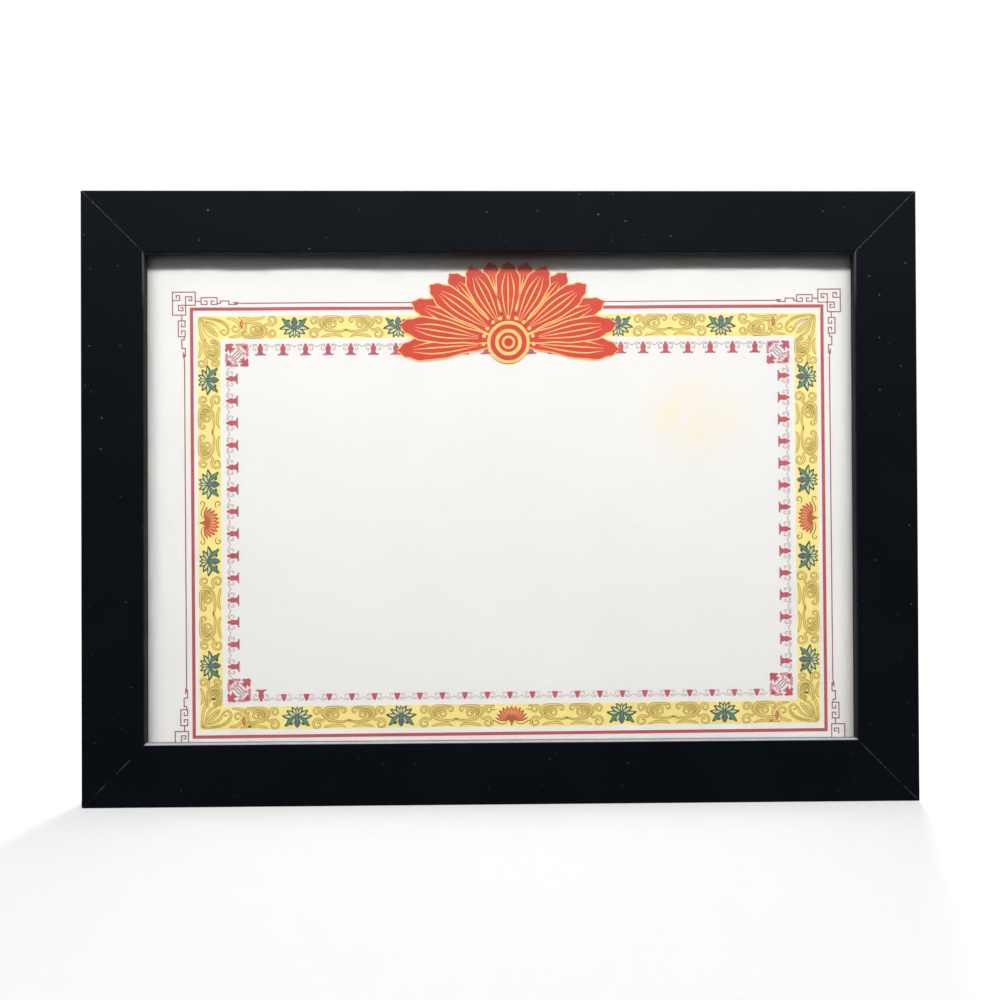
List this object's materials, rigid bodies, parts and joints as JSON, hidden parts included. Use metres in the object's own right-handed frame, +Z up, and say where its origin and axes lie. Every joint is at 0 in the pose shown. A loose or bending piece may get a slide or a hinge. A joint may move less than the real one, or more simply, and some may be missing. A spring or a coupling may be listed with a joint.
{
  "type": "certificate frame",
  "caption": "Flat black mitred frame that holds a landscape A4 certificate behind glass, with a hardboard back, turn buttons and a sawtooth hanger.",
  "frame": {"origin": "the middle notch of the hanger, where the wall nail bears, on the plane of the rails' back", "axes": "+X to the right of a viewer in front of the frame, +Y towards the wall, +Z up"},
  "size_m": [0.338, 0.0175, 0.248],
  "materials": {
    "moulding": "matte",
    "wedge_steel": "satin",
    "glass": "polished",
    "paper": "matte",
    "card": "matte",
    "hardboard": "satin",
    "zinc_plate": "satin",
    "bumper_rubber": "matte"
  },
  "bodies": {
    "frame": {"top_rail": "moulding", "bottom_rail": "moulding", "left_rail": "moulding", "right_rail": "moulding", "corner_wedges_top_left": "wedge_steel", "corner_wedges_top_right": "wedge_steel", "corner_wedges_bottom_left": "wedge_steel", "corner_wedges_bottom_right": "wedge_steel", "glass_pane": "glass", "certificate_sheet": "paper", "filler_card": "card", "backing_board": "hardboard", "turn_button_screws": "zinc_plate", "sawtooth_hanger": "zinc_plate", "hanger_nails": "zinc_plate", "wall_bumper_left": "bumper_rubber", "wall_bumper_right": "bumper_rubber"},
    "turn_button_top_left": {"turn_button_top_left": "zinc_plate"},
    "turn_button_top_right": {"turn_button_top_right": "zinc_plate"},
    "turn_button_bottom_left": {"turn_button_bottom_left": "zinc_plate"},
    "turn_button_bottom_right": {"turn_button_bottom_right": "zinc_plate"},
    "turn_button_left": {"turn_button_left": "zinc_plate"},
    "turn_button_right": {"turn_button_right": "zinc_plate"}
  },
  "joints": [
    {"name": "turn_button_top_left_swivel", "type": "hinge", "parent": "frame", "child": "turn_button_top_left", "pos_m": [-0.075, 0, -0.0008], "axis": [0, 1, 0], "range_deg": [-180, 180]},
    {"name": "turn_button_top_right_swivel", "type": "hinge", "parent": "frame", "child": "turn_button_top_right", "pos_m": [0.075, 0, -0.0008], "axis": [0, 1, 0], "range_deg": [-180, 180]},
    {"name": "turn_button_bottom_left_swivel", "type": "hinge", "parent": "frame", "child": "turn_button_bottom_left", "pos_m": [-0.075, 0, -0.2228], "axis": [0, 1, 0], "range_deg": [-180, 180]},
    {"name": "turn_button_bottom_right_swivel", "type": "hinge", "parent": "frame", "child": "turn_button_bottom_right", "pos_m": [0.075, 0, -0.2228], "axis": [0, 1, 0], "range_deg": [-180, 180]},
    {"name": "turn_button_left_swivel", "type": "hinge", "parent": "frame", "child": "turn_button_left", "pos_m": [-0.156, 0, -0.1118], "axis": [0, 1, 0], "range_deg": [-180, 180]},
    {"name": "turn_button_right_swivel", "type": "hinge", "parent": "frame", "child": "turn_button_right", "pos_m": [0.156, 0, -0.1118], "axis": [0, 1, 0], "range_deg": [-180, 180]}
  ]
}
